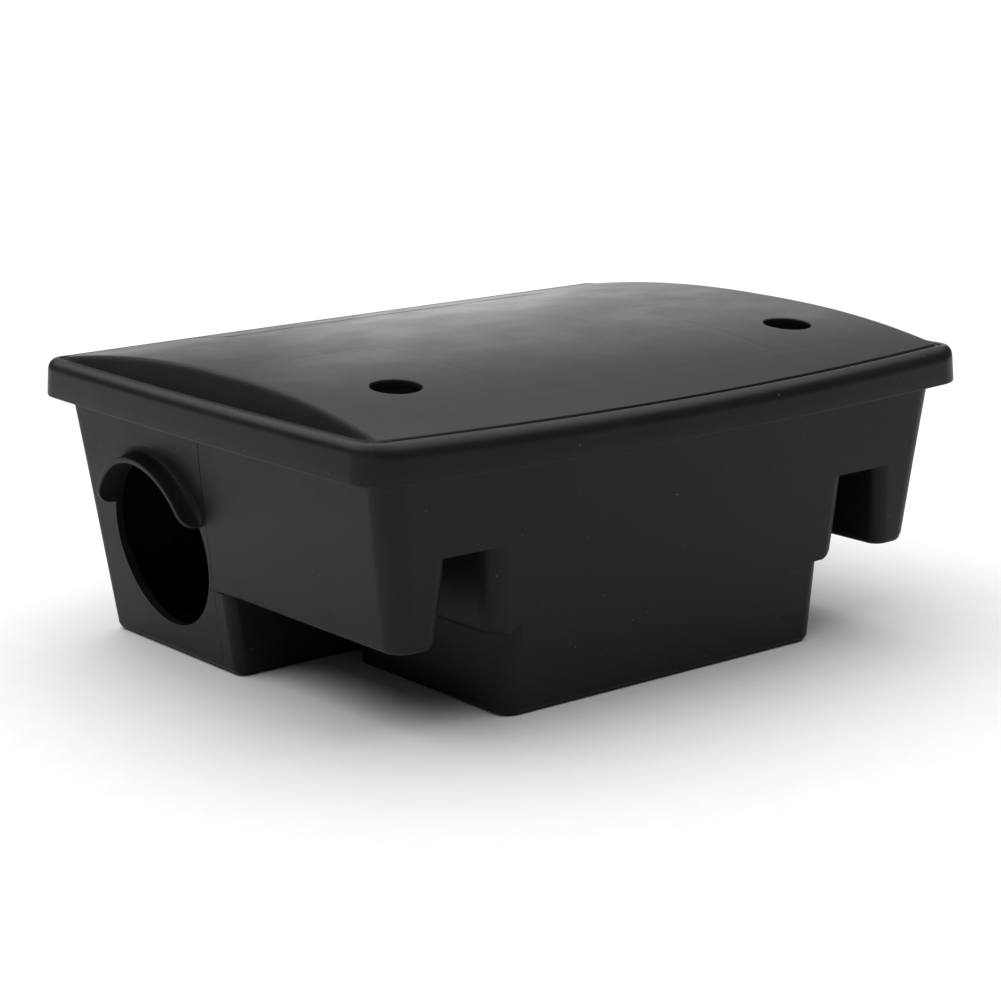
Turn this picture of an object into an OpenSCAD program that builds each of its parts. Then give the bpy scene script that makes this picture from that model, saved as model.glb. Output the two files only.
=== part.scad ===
// Tamper-resistant rodent bait station: drafted tray with a through tunnel at
// the back, a deep bait well at the front, corner pockets, and a domed lid on
// two rear hinges with two quarter-turn locks.
// Units are millimetres. X runs along the station, front is -Y, Z is up, and
// the ground is z = 0.

/* [Overall] */
// Length of the lid, end to end
body_l = 235; // [200:1:290]
// Depth of the lid at the middle of its bowed sides
body_w = 197; // [170:1:240]
// Height to the crown of the lid
body_h = 99; // [92:0.5:120]
// Wall thickness of the mouldings
wall = 2.5; // [2:0.1:2.8]

/* [Base] */
// How far the foot of the base stands in from the ends of the lid
foot_in_x = 19.3; // [10:0.1:28]
// How far the foot of the base stands in from the long sides of the lid
foot_in_y = 20.5; // [10:0.1:28]
// Outward lean of the base walls, per millimetre of height
lean = 0.11; // [0.05:0.01:0.13]
// Height of the lower ledge and of the corner pocket feet
ledge_z = 26.5; // [20:0.5:34]
// Height of the underside of the raised notch floors
notch_z = 53.3; // [46:0.1:58]
// Inner side of a front notch, from the middle
notch_in = 68; // [62:0.5:72]
// Outer side of a front notch, from the middle
notch_out = 87; // [84:0.5:92]
// Half length of the deep part of the bait well
well_x = 59.6; // [50:0.1:62]
// Back face of the bait well
well_back = -4; // [-20:0.5:0]
// Front face of the entrance tunnel
tunnel_y = 5; // [2:0.5:12]

/* [Entrances] */
// Diameter of the round entrance in each end wall
hole_d = 53; // [40:0.5:56]
// Distance of the entrances behind the middle
hole_y = 40; // [34:0.5:44]
// Height of the entrance centre
hole_z = 36.5; // [33:0.5:40]
// How far the hood stands out of the wall
hood_out = 6.3; // [3:0.1:7.5]

/* [Lid] */
// Height of the lower edge of the lid skirt
skirt_z = 78; // [74:0.5:82]
// Bow of the long sides
side_bow = 6; // [2:0.5:8]
// Lock holes in the lid, distance from the middle
lock_x = 77; // [72:0.1:80]
// Lock holes in the lid, distance in front of the middle
lock_y = 50.2; // [44:0.1:56]
// Diameter of the lock holes
lock_d = 15; // [13:0.1:17]

/* [Hinges] */
// Distance of each hinge from the middle
hinge_x = 60; // [50:1:70]
// Diameter of the hinge pins
pin_d = 3; // [2:0.1:3.4]
// Outside diameter of the hinge knuckles
knuckle_d = 7; // [6:0.1:7.4]

/* [Inside] */
// Half length of the lift-out bait tray
tray_x = 54; // [46:0.5:55]
// Height of the bait tray
tray_h = 45; // [36:0.5:48]
// Diameter of the bait rods
rod_d = 4; // [3:0.1:5]
// Diameter of the ground screw holes
screw_d = 5; // [4:0.1:6]

/* [Hidden] */

$fn = 64;
foot_x = body_l / 2 - foot_in_x;    // half length of the base at the ground
foot_y = body_w / 2 - foot_in_y;    // half depth of the base at the ground
ground_r = 5;                       // corner radius of the base at the ground
rim_z = skirt_z + 8;                // top of the base, just below the lid
lid_top = rim_z + 0.2;              // underside of the lid's flat rim
rim_top = lid_top + 2.6;            // top of the lid's flat rim
lid_r = 12;                         // corner radius of the lid
lid_x = body_l / 2 - 1.5;           // half length of the lid without the end bow
lid_y = body_w / 2 - side_bow;      // half depth of the lid without the side bow
flare = 0.1;                        // outward lean of the skirt
dome_x = lid_x - 5;                 // half length of the dome at its foot
dome_y = lid_y - 2;                 // half depth of the dome at its foot
dome_rise = body_h - rim_top;       // height of the dome above the rim
dome_r = (dome_y * dome_y + dome_rise * dome_rise) / (2 * dome_rise);
dome_in = dome_r - wall;            // radius of the dome's inner face
hinge_y = foot_y + lean * skirt_z + 5.9;
hinge_z = skirt_z;
stop_lean = 20;                     // slope of the stop that ends the lid's travel
hub_z = 76;                         // underside of the lock cams
sleeve_z = 80;                      // lower end of the lock sleeves
seat_z = sleeve_z + 2.5;            // floor inside a lock sleeve
head_d = lock_d - 0.5;
shaft_d = 9;
tip_r = lock_d / 2 + 6;             // reach of a cam's tongue
strike_x = lock_x + tip_r + 1;      // inner face of a strike wall
rod_x = 27;
rod_gap = 15;                       // half distance between the front and back rods
tray_front = 39.5 + 31.5;           // front face of the tray, ahead of the middle
tray_back = 39.5 - 31.5;            // back face of the tray, ahead of the middle
tray_z = wall + 0.1;
baffle_x = 62;
baffle_t = 2;
baffle_end = tunnel_y + wall + 23;  // back edge of a baffle; the way past it is behind

// ---------------------------------------------------------------- helpers

// A cone or straight round between two heights of a drafted corner.
module corner_post(x, y, z1, z2, r, slope) {
    translate([x, y, z1])
        cylinder(h = z2 - z1, r1 = r + slope * z1, r2 = r + slope * z2);
}

// Rounded box whose four walls lean by the same slope. hx, hf and hb are the
// half length and the front and back half depths at z = 0, r is the corner
// radius there.
module drafted(hx, hf, hb, r, slope, z1, z2) {
    cx = hx - r;
    for (sx = [-1, 1]) {
        corner_post(sx * cx, hb - r, z1, z2, r, slope);
        corner_post(sx * cx, r - hf, z1, z2, r, slope);
    }
    translate([0, hb - r, 0]) rotate([90, 0, 0])
        linear_extrude(height = hf + hb - 2 * r)
            polygon([[-hx - slope * z1, z1], [hx + slope * z1, z1],
                [hx + slope * z2, z2], [-hx - slope * z2, z2]]);
    translate([-cx, 0, 0]) rotate([90, 0, 90])
        linear_extrude(height = 2 * cx)
            polygon([[-hf - slope * z1, z1], [hb + slope * z1, z1],
                [hb + slope * z2, z2], [-hf - slope * z2, z2]]);
}

// Outside of the base between two heights, moved inward by inset.
module base_body(inset, z1, z2) {
    drafted(foot_x - inset, foot_y - inset, foot_y - inset, ground_r - inset + 1.5, lean, z1, z2);
}

// Straight rounded box between two heights.
module rounded_box(x1, x2, y1, y2, r, z1, z2) {
    translate([0, 0, z1]) linear_extrude(height = z2 - z1) {
        for (x = [x1 + r, x2 - r], y = [y1 + r, y2 - r]) translate([x, y]) circle(r = r);
        translate([x1 + r, y1]) square([x2 - x1 - 2 * r, y2 - y1]);
        translate([x1, y1 + r]) square([x2 - x1, y2 - y1 - 2 * r]);
    }
}

// Bow added to one long side of the lid, between two heights.
module long_bow(y, z1, z2, slope) {
    half = lid_x - lid_r;
    big = (half * half + side_bow * side_bow) / (2 * side_bow);
    intersection() {
        translate([0, y + side_bow - big, z1])
            cylinder(h = z2 - z1, r1 = big, r2 = big + slope * (z2 - z1), $fn = 360);
        translate([-half, 0, z1 - 1]) cube([2 * half, y + 3 * side_bow, z2 - z1 + 2]);
    }
}

// Bow added to one short side of the lid, between two heights.
module short_bow(x, z1, z2, slope) {
    half = lid_y - lid_r;
    bow = 1.5;
    big = (half * half + bow * bow) / (2 * bow);
    intersection() {
        translate([x + bow - big, 0, z1])
            cylinder(h = z2 - z1, r1 = big, r2 = big + slope * (z2 - z1), $fn = 360);
        translate([0, -half, z1 - 1]) cube([x + 3 * bow, 2 * half, z2 - z1 + 2]);
    }
}

// Plan of the lid between two heights, moved inward by inset at the lower one.
module lid_plan(inset, z1, z2, slope) {
    translate([0, 0, z1]) drafted(lid_x - inset, lid_y - inset, lid_y - inset,
        lid_r - inset, slope, 0, z2 - z1);
    long_bow(lid_y - inset, z1, z2, slope);
    mirror([0, 1, 0]) long_bow(lid_y - inset, z1, z2, slope);
    short_bow(lid_x - inset, z1, z2, slope);
    mirror([1, 0, 0]) short_bow(lid_x - inset, z1, z2, slope);
}

// Arched body of the dome: a long barrel cut by leaning ends.
module dome_body(r, x_foot, x_top, y_half, z_foot) {
    intersection() {
        translate([-x_foot - 1, 0, body_h - dome_r]) rotate([0, 90, 0])
            cylinder(h = 2 * x_foot + 2, r = r, $fn = 360);
        translate([0, y_half, 0]) rotate([90, 0, 0]) linear_extrude(height = 2 * y_half)
            polygon([[-x_foot, z_foot], [x_foot, z_foot], [x_top, body_h + 1], [-x_top, body_h + 1]]);
        rounded_box(-x_foot, x_foot, -y_half, y_half, 8, z_foot - 1, body_h + 2);
    }
}

// Rod along X between two positions, centred on the hinge axis.
module on_axis(x1, x2, r) {
    translate([x1, hinge_y, hinge_z]) rotate([0, 90, 0]) cylinder(h = x2 - x1, r = r);
}

// ---------------------------------------------------------------- base

module hood(sx) {
    wall_x = foot_x + lean * hole_z;
    reach = hood_out + 6;
    scale_x = sx;
    mirror([scale_x < 0 ? 1 : 0, 0, 0]) intersection() {
        translate([wall_x - 3, hole_y, hole_z]) rotate([0, 90, 0]) difference() {
            cylinder(h = reach + 3, r = hole_d / 2 + 2.4);
            translate([0, 0, -1]) cylinder(h = reach + 5, d = hole_d);
        }
        translate([0, 200, 0]) rotate([90, 0, 0]) linear_extrude(height = 400)
            polygon([[foot_x + lean * (hole_z + 10) - 1, hole_z + 9],
                [foot_x + lean * (hole_z + 14) + hood_out, hole_z + 13.5],
                [foot_x + lean * (hole_z + 34) + hood_out, hole_z + 34],
                [foot_x + lean * (hole_z + 34) - 1, hole_z + 34]]);
    }
}

module strike(sx) {
    mirror([sx < 0 ? 1 : 0, 0, 0]) translate([0, -lock_y - 5, 0]) {
        // block on the raised floor, tall enough to pass just under the tongue
        translate([notch_out - 0.2, 0, notch_z]) cube([strike_x + 2.5 - notch_out + 0.2, 10, hub_z - 0.4 - notch_z]);
        // wall and overhanging lip that the tongue turns under
        translate([strike_x, 0, notch_z]) cube([2.5, 10, hub_z + 5.5 - notch_z]);
        translate([strike_x - 4, 0, hub_z + 2.9]) cube([4.2, 10, 2.6]);
    }
}

module base_hinge(sx) {
    // two lugs with bores, joined to the back wall
    for (x1 = [sx * hinge_x - 12, sx * hinge_x + 6]) {
        on_axis(x1, x1 + 6, knuckle_d / 2);
        translate([x1, hinge_y - 8, hinge_z - knuckle_d / 2]) cube([6, 8, knuckle_d]);
    }
}

module hinge_stop(sx) {
    // sloped rib that the turned skirt comes to rest on
    reach = 4.4;
    translate([sx * hinge_x - 4, hinge_y, hinge_z]) rotate([90, 0, 90]) linear_extrude(height = 8)
        polygon([[-7.4, -(reach - 7.4 * sin(stop_lean)) / cos(stop_lean)],
            [3.2, -(reach + 3.2 * sin(stop_lean)) / cos(stop_lean)],
            [3.2, -7.2], [-8.4, -15]]);
}

module baffle_guides(sx) {
    // slots that hold a baffle upright: one on the dividing wall, one on a post
    for (side = [-1, 1]) {
        translate([sx * baffle_x + side * (baffle_t / 2 + 0.85) - 0.75, tunnel_y + wall - 0.5, wall - 0.5])
            cube([1.5, 4, 58]);
        translate([sx * baffle_x + side * (baffle_t / 2 + 0.85) - 0.75, baffle_end - 4, wall - 0.5])
            cube([1.5, 5.2, 50]);
    }
    translate([sx * baffle_x - baffle_t / 2 - 1.6, baffle_end + 0.2, wall - 0.5]) cube([baffle_t + 3.2, 1.5, 50]);
}

module base_shell() {
    color([0.13, 0.13, 0.14]) difference() {
        union() {
            difference() {
                union() {
                    base_body(0, ledge_z, rim_z);
                    // narrow rim at the top
                    base_body(-1.2, rim_z - 2.5, rim_z);
                    // entrance tunnel down to the ground
                    intersection() {
                        base_body(0, 0, ledge_z + 0.5);
                        rounded_box(-150, 150, tunnel_y, 150, 4, -1, ledge_z + 1);
                    }
                    // deep bait well down to the ground
                    intersection() {
                        base_body(0, 0, ledge_z + 0.5);
                        rounded_box(-well_x, well_x, -foot_y - lean * ledge_z, well_back, 7, -1, ledge_z + 1);
                    }
                }
                // everything above the mid floor, apart from the raised notches
                difference() {
                    base_body(wall, ledge_z + wall, rim_z + 1);
                    for (sx = [-1, 1]) translate([sx * (notch_in + notch_out) / 2, 0, 0])
                        translate([-(notch_out - notch_in) / 2 - wall, -150, 0])
                            cube([notch_out - notch_in + 2 * wall, 150 + tunnel_y + wall, notch_z + wall]);
                }
                // inside of the tunnel
                intersection() {
                    base_body(wall, wall, ledge_z + wall + 1);
                    rounded_box(-150, 150, tunnel_y + wall, 150, 2, 0, ledge_z + wall + 1);
                }
                // inside of the bait well
                intersection() {
                    base_body(wall, wall, ledge_z + wall + 1);
                    rounded_box(wall - well_x, well_x - wall, -foot_y - lean * ledge_z + wall,
                        well_back - wall, 4.5, wall, ledge_z + wall + 1);
                }
                // front notches, open below and in front
                for (sx = [-1, 1]) translate([sx * (notch_in + notch_out) / 2, 0, 0])
                    translate([-(notch_out - notch_in) / 2, -150, -1])
                        cube([notch_out - notch_in, 150 + tunnel_y, notch_z + 1]);
            }
            // dividing wall between the tunnel and the bait side, with two windows
            difference() {
                intersection() {
                    base_body(1, ledge_z, rim_z);
                    translate([-150, tunnel_y, ledge_z]) cube([300, wall, 36]);
                }
                for (sx = [-1, 1]) translate([sx * 30 - 20, tunnel_y - 1, ledge_z + wall])
                    cube([40, wall + 2, 40]);
            }
            for (sx = [-1, 1]) {
                hood(sx);
                strike(sx);
                base_hinge(sx);
                hinge_stop(sx);
                baffle_guides(sx);
            }
        }
        // entrances
        for (sx = [-1, 1]) translate([sx * 110, hole_y, hole_z]) rotate([0, 90, 0])
            translate([0, 0, -22]) cylinder(h = 44, d = hole_d);
        // hinge bores in the lugs
        for (sx = [-1, 1]) on_axis(sx * hinge_x - 14, sx * hinge_x + 14, pin_d / 2);
        // holes for ground screws
        for (x = [-1, 1], y = [22, 66]) translate([x * 78, y, -1]) cylinder(h = wall + 2, d = screw_d);
    }
}

// ---------------------------------------------------------------- lid

module lid_knuckle(sx) {
    on_axis(sx * hinge_x - 5.7, sx * hinge_x + 5.7, knuckle_d / 2);
    // web that carries the knuckle on the skirt
    translate([sx * hinge_x - 5.7, hinge_y - 0.6, hinge_z]) cube([11.4, 3.2, 6]);
}

module lock_sleeve(sx) {
    translate([sx * lock_x, -lock_y, sleeve_z]) cylinder(h = body_h - sleeve_z - 6, d = lock_d + 4.4);
    // two nibs that stop the cam after a quarter turn
    mirror([sx < 0 ? 1 : 0, 0, 0]) {
        translate([lock_x - 6.4, 7 - lock_y, hub_z + 1]) cube([2.2, 2.2, sleeve_z - hub_z]);
        translate([lock_x + 7, -6.4 - lock_y, hub_z + 1]) cube([2.2, 2.2, sleeve_z - hub_z]);
    }
}

module lid_shell() {
    color([0.16, 0.16, 0.17]) difference() {
        union() {
            difference() {
                union() {
                    lid_plan(0, skirt_z, rim_top - 1.8, -flare);
                    lid_plan((rim_top - 1.8 - skirt_z) * flare, rim_top - 1.8, rim_top, -1);
                    dome_body(dome_r, dome_x, dome_x - 4.5, dome_y, rim_top - 1);
                }
                // inside of the skirt
                lid_plan(wall, skirt_z - 1, lid_top, -flare);
                // inside of the dome
                dome_body(dome_in, dome_x - wall, dome_x - wall - 4.5, dome_y - wall, lid_top - 1);
            }
            for (sx = [-1, 1]) {
                lid_knuckle(sx);
                lock_sleeve(sx);
            }
        }
        for (sx = [-1, 1]) {
            // lock holes and the bores below them
            translate([sx * lock_x, -lock_y, seat_z]) cylinder(h = body_h, d = lock_d);
            translate([sx * lock_x, -lock_y, sleeve_z - 1]) cylinder(h = 8, d = shaft_d + 0.1);
            // room in the skirt for the base lugs
            for (x1 = [sx * hinge_x - 12, sx * hinge_x + 6]) on_axis(x1 - 0.3, x1 + 6.3, knuckle_d / 2 + 0.7);
            // running bore for the pin
            on_axis(sx * hinge_x - 7, sx * hinge_x + 7, pin_d / 2 + 0.05);
        }
    }
}

// ---------------------------------------------------------------- hinges

module hinge_pin(sx) {
    color([0.72, 0.73, 0.75]) on_axis(sx * hinge_x - 12, sx * hinge_x + 12, pin_d / 2);
}
module hinge_pin_left() { hinge_pin(-1); }
module hinge_pin_right() { hinge_pin(1); }

// ---------------------------------------------------------------- locks

module lock_spindle(sx) {
    color([0.2, 0.2, 0.21]) translate([sx * lock_x, -lock_y, 0]) difference() {
        union() {
            translate([0, 0, seat_z + 0.1]) cylinder(h = 5, d = head_d);
            translate([0, 0, hub_z - 3]) cylinder(h = seat_z + 1 - hub_z + 3, d = shaft_d);
        }
        // two drive holes for the key
        for (x = [-1, 1]) translate([x * 3.8, 0, seat_z + 1.6]) cylinder(h = 5, d = 2.8);
        // groove for the retaining clip
        translate([0, 0, hub_z - 1.6]) difference() {
            cylinder(h = 1.2, d = shaft_d + 2);
            translate([0, 0, -1]) cylinder(h = 4, d = shaft_d - 1.6);
        }
    }
}
module lock_spindle_left() { lock_spindle(-1); }
module lock_spindle_right() { lock_spindle(1); }

module lock_washer(sx) {
    color([0.66, 0.67, 0.69]) translate([sx * lock_x, -lock_y, sleeve_z - 0.8]) difference() {
        cylinder(h = 0.8, d = 14);
        translate([0, 0, -1]) cylinder(h = 3, d = shaft_d + 0.8);
    }
}
module lock_washer_left() { lock_washer(-1); }
module lock_washer_right() { lock_washer(1); }

// Hub and tongue; at rest the tongue points to the back.
module lock_cam(sx) {
    color([0.24, 0.24, 0.25]) translate([sx * lock_x, -lock_y, hub_z]) difference() {
        union() {
            cylinder(h = 2.5, d = 15);
            translate([-4, 0, 0]) cube([8, tip_r, 2.5]);
        }
        translate([0, 0, -1]) cylinder(h = 5, d = shaft_d);
    }
}
module lock_cam_left() { lock_cam(-1); }
module lock_cam_right() { lock_cam(1); }

module lock_clip(sx) {
    color([0.6, 0.6, 0.62]) translate([sx * lock_x, -lock_y, hub_z - 1.5]) difference() {
        cylinder(h = 1, d = 13);
        translate([0, 0, -1]) cylinder(h = 3, d = shaft_d - 1.6);
        translate([-2.6, -8, -1]) cube([5.2, 8, 3]);
    }
}
module lock_clip_left() { lock_clip(-1); }
module lock_clip_right() { lock_clip(1); }

// ---------------------------------------------------------------- inside

module bait_tray() {
    color([0.18, 0.18, 0.19]) difference() {
        union() {
            difference() {
                union() {
                    rounded_box(-tray_x, tray_x, -tray_front, -tray_back, 8, tray_z, tray_z + tray_h);
                    rounded_box(-tray_x - 3, tray_x + 3, -tray_front - 1, -tray_back + 1, 9,
                        tray_z + tray_h - 2, tray_z + tray_h);
                }
                rounded_box(1.8 - tray_x, tray_x - 1.8, 1.8 - tray_front, -tray_back - 1.8, 6.2,
                    tray_z + 1.8, tray_z + tray_h + 1);
            }
            // sockets for the bait rods
            for (x = [-1, 1], y = [-1, 1]) translate([x * rod_x, y * rod_gap - 39.5, tray_z + 1])
                cylinder(h = 8, d = rod_d + 5);
            // slots for the divider
            for (x = [-1, 1], y = [-tray_front + 1, -tray_back - 4]) translate([x * 1.95 - 0.75, y, tray_z + 1])
                cube([1.5, 3, tray_h - 8]);
        }
        for (x = [-1, 1], y = [-1, 1]) translate([x * rod_x, y * rod_gap - 39.5, tray_z + 2])
            cylinder(h = 12, d = rod_d + 0.1);
    }
}

module tray_divider() {
    color([0.22, 0.22, 0.23]) difference() {
        translate([-1.1, 2.1 - tray_front, tray_z + 2]) cube([2.2, tray_front - tray_back - 4.2, tray_h - 10]);
        // finger hole
        translate([-5, -39.5, tray_z + tray_h - 16]) rotate([0, 90, 0]) cylinder(h = 10, d = 12);
    }
}

module bait_rod(i, j) {
    color([0.7, 0.71, 0.73]) translate([i * rod_x, j * rod_gap - 39.5, 0]) {
        translate([0, 0, tray_z + 2.1]) cylinder(h = 50.9, d = rod_d);
        translate([0, 0, tray_z + 53]) cylinder(h = 1, d1 = rod_d, d2 = rod_d - 1.6);
    }
}
module bait_rod_1() { bait_rod(-1, -1); }
module bait_rod_2() { bait_rod(1, -1); }
module bait_rod_3() { bait_rod(-1, 1); }
module bait_rod_4() { bait_rod(1, 1); }

module baffle(sx) {
    color([0.2, 0.2, 0.21]) difference() {
        translate([sx * baffle_x - baffle_t / 2, tunnel_y + wall + 0.2, wall + 0.1])
            cube([baffle_t, baffle_end - tunnel_y - wall - 0.2, 72]);
        // finger hole
        translate([sx * baffle_x - 5, tunnel_y + wall + 11, 66]) rotate([0, 90, 0]) cylinder(h = 10, d = 11);
    }
}
module baffle_left() { baffle(-1); }
module baffle_right() { baffle(1); }

// ---------------------------------------------------------------- draw

base_shell();
lid_shell();
hinge_pin_left();
hinge_pin_right();
lock_spindle_left();
lock_spindle_right();
lock_washer_left();
lock_washer_right();
lock_cam_left();
lock_cam_right();
lock_clip_left();
lock_clip_right();
bait_tray();
tray_divider();
bait_rod_1();
bait_rod_2();
bait_rod_3();
bait_rod_4();
baffle_left();
baffle_right();
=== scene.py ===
"""Looks for the lockable rodent bait station: black polypropylene tray, domed lid, steel rods and locks."""
import math

import bmesh
import bpy
from mathutils import Matrix, Vector
from mathutils.geometry import tessellate_polygon


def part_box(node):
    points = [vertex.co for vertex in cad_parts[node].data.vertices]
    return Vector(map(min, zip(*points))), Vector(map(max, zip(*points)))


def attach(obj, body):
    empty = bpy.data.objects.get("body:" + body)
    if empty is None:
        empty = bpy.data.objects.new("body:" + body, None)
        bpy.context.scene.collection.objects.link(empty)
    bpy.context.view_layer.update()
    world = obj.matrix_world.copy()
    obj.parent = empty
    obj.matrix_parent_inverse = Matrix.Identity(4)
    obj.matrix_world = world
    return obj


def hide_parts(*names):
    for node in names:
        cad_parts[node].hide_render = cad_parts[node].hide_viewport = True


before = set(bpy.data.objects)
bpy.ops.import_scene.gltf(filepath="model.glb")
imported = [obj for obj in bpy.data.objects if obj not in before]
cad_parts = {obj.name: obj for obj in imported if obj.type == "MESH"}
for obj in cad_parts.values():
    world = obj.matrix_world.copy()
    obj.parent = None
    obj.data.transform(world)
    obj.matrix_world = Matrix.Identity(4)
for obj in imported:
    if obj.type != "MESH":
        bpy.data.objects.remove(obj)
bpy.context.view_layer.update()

MM = 0.001

# ------------------------------------------------------------------ sizes, in millimetres
FOOT_X, LEAN_X = 98.1, 0.13           # half length of the base on the ground, and its lean
FRONT_Y, LEAN_FRONT = 79.0, 0.095      # front wall on the ground, and its lean
BACK_Y, LEAN_BACK = 79.6, 0.08
BASE_BOW, BASE_BOW_X = 2.2, 108       # bow of the front and back walls at the rim, and where it ends
FRONT_R, BACK_R, R_GROWTH = 6.0, 4.0, 0.03   # radii of the base corners on the ground, and their growth
WALL = 2.5
LEDGE_Z = 26.5                        # feet of the corner pockets, ledge of the well
NOTCH_Z = 53.3                        # ceiling of the front notches
NOTCH_IN, NOTCH_OUT = 70.3, 84.2      # sides of a notch at its ceiling
RIM_Z = 86.0
TUNNEL_Y, TUNNEL_WALL = 5.0, 2.8
WELL_X, WELL_BACK = 62.3, -4.0
HOLE_Y, HOLE_Z, HOLE_R = 40.0, 36.5, 26.5
HOOD_SPAN = (20, 158.5)               # where the hood starts and ends round the hole, in degrees
HOOD_OUT, HOOD_RIM, HOOD_ROOT = 6.4, 1.9, 4.3   # reach of the hood, thickness at its rim and its root
SKIRT_Z = 78.0
LID_X, LID_Y = 117.3, 98.5            # middle of the bowed sides, at the skirt's lower edge
LID_BOW_LONG, LID_BOW_SHORT = 5.8, 1.5
BOW_X, BOW_Y = 105, 85                # where the bow of the long and of the short sides ends
LID_R = 12.0
CREASE = 6.3                          # distance of the crease from the lid's edge
CREASE_Z = 89.15                      # foot of the dome
UNDER_EDGE = 9.7                      # distance of the dome's underside from the lid's edge
CROWN_Z, CROWN_FALL = 97.7, 0.8       # top of the dome, and its fall towards the two ends
EDGE_Z, SAG = 89.6, 1.0               # dome at the long sides' ends, and how much lower their middles lie
RIB_FRONT, RIB_BACK, RIB_HALF = -73, -3, 80   # lines of the ribs under the lid
BAY_IN, BAY_OUT = 50, 83
LOCK_R = 7.5
LOCK_FLOOR = 82.5


def box_mm(node):
    """Lowest and highest corner of a CAD node, in millimetres."""
    low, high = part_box(node)
    return [c / MM for c in low], [c / MM for c in high]


def middle(node):
    low, high = box_mm(node)
    return [(a + b) / 2 for a, b in zip(low, high)]


HINGE_X, HINGE_Y, HINGE_Z = middle("hinge_pin_right")
LOCK_X, LOCK_Y, _ = middle("lock_spindle_right")
HINGE_R = 3.5                         # outside radius of the lugs and knuckles
LUG_W, KNUCKLE_W = 6, 11.4
STRIKE_X = LOCK_X + 14.5              # inner face of the strikes
SIDES = (-1, 1)


# ------------------------------------------------------------------ mesh building
def smooth(t):
    t = min(1.0, max(0.0, t))
    return t * t * (3 - 2 * t)


def soft_min(a, b, k):
    """Smaller of two heights, with a fillet of about k where they meet."""
    h = max(k - abs(a - b), 0.0) / k
    return min(a, b) - h * h * k * 0.25


def link(name, mesh):
    made = bpy.data.objects.new(name, mesh)
    bpy.context.scene.collection.objects.link(made)
    return made


class Moulding:
    """A mesh under construction, in millimetres. Rings run counter-clockwise seen from the end they rise to."""

    def __init__(self):
        self.points, self.faces = [], []

    def ring(self, points):
        first = len(self.points)
        self.points += [tuple(p) for p in points]
        return list(range(first, len(self.points)))

    def level(self, outline, z):
        """A ring from a plan outline at one height, or at the height that z gives for each point."""
        return self.ring([(x, y, z(x, y) if callable(z) else z) for x, y in outline])

    def band(self, low, high):
        for i in range(len(low)):
            j = (i + 1) % len(low)
            self.faces.append((low[i], low[j], high[j], high[i]))

    def tube(self, rings, closed=False):
        for low, high in zip(rings, rings[1:] + (rings[:1] if closed else [])):
            self.band(low, high)

    def cap(self, ring, up):
        self.faces.append(tuple(ring if up else reversed(ring)))

    def solid(self, rings):
        self.cap(rings[0], up=False)
        self.tube(rings)
        self.cap(rings[-1], up=True)

    def plate(self, outer, holes, up):
        """A flat level face with holes, as triangles."""
        loops = [outer] + holes
        flat = [[Vector((self.points[i][0], self.points[i][1], 0)) for i in loop] for loop in loops]
        every = [i for loop in loops for i in loop]
        for a, b, c in tessellate_polygon(flat):
            pa, pb, pc = (self.points[every[k]] for k in (a, b, c))
            turn = (pb[0] - pa[0]) * (pc[1] - pa[1]) - (pb[1] - pa[1]) * (pc[0] - pa[0])
            if abs(turn) > 1e-9:
                face = (every[a], every[b], every[c])
                self.faces.append(face if (turn > 0) == up else face[::-1])

    def bar(self, axis, start, end, corners, edge=0.4, arc=3):
        """A moulded bar along an axis with a cross-section in the other two, its edges eased."""
        corners = [(c[0], c[1], c[2] if len(c) > 2 else edge, 1) for c in corners]
        if sum(a[0] * b[1] - a[1] * b[0] for a, b in zip(corners, corners[1:] + corners[:1])) < 0:
            corners = corners[::-1]
        place = {"X": lambda u, v, w: (w, u, v),
                 "Y": lambda u, v, w: (u, w, v),
                 "Z": lambda u, v, w: (u, v, w)}[axis]
        rings = []
        for at, inset in ((start, edge), (start + edge * 0.3, edge * 0.3), (start + edge, 0),
                          (end - edge, 0), (end - edge * 0.3, edge * 0.3), (end, edge)):
            ring = [place(u, v, at) for u, v in outline(corners, inset, arc)[0]]
            rings.append(self.ring(reversed(ring) if axis == "Y" else ring))
        self.solid(rings)

    def lathe(self, axis, centre, profile, n=48, closed=False):
        """A turned part: profile of (distance along the axis, radius), closed where the radius ends at nothing."""
        a, b = centre
        place = {"X": lambda u, v, w: (w, u, v), "Z": lambda u, v, w: (u, v, w)}[axis]
        rings = [self.ring([place(a + r * math.cos(2 * math.pi * k / n), b + r * math.sin(2 * math.pi * k / n), at)
                            for k in range(n)]) for at, r in profile]
        if closed:
            self.tube(rings, closed=True)
        else:
            self.solid(rings)

    def object(self, name):
        mesh = bpy.data.meshes.new(name)
        mesh.from_pydata([(x * MM, y * MM, z * MM) for x, y, z in self.points], [], self.faces)
        work = bmesh.new()
        work.from_mesh(mesh)
        bmesh.ops.remove_doubles(work, verts=work.verts, dist=0.002 * MM)
        bmesh.ops.recalc_face_normals(work, faces=work.faces)
        work.to_mesh(mesh)
        work.free()
        mesh.update()
        return link(name, mesh)


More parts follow.
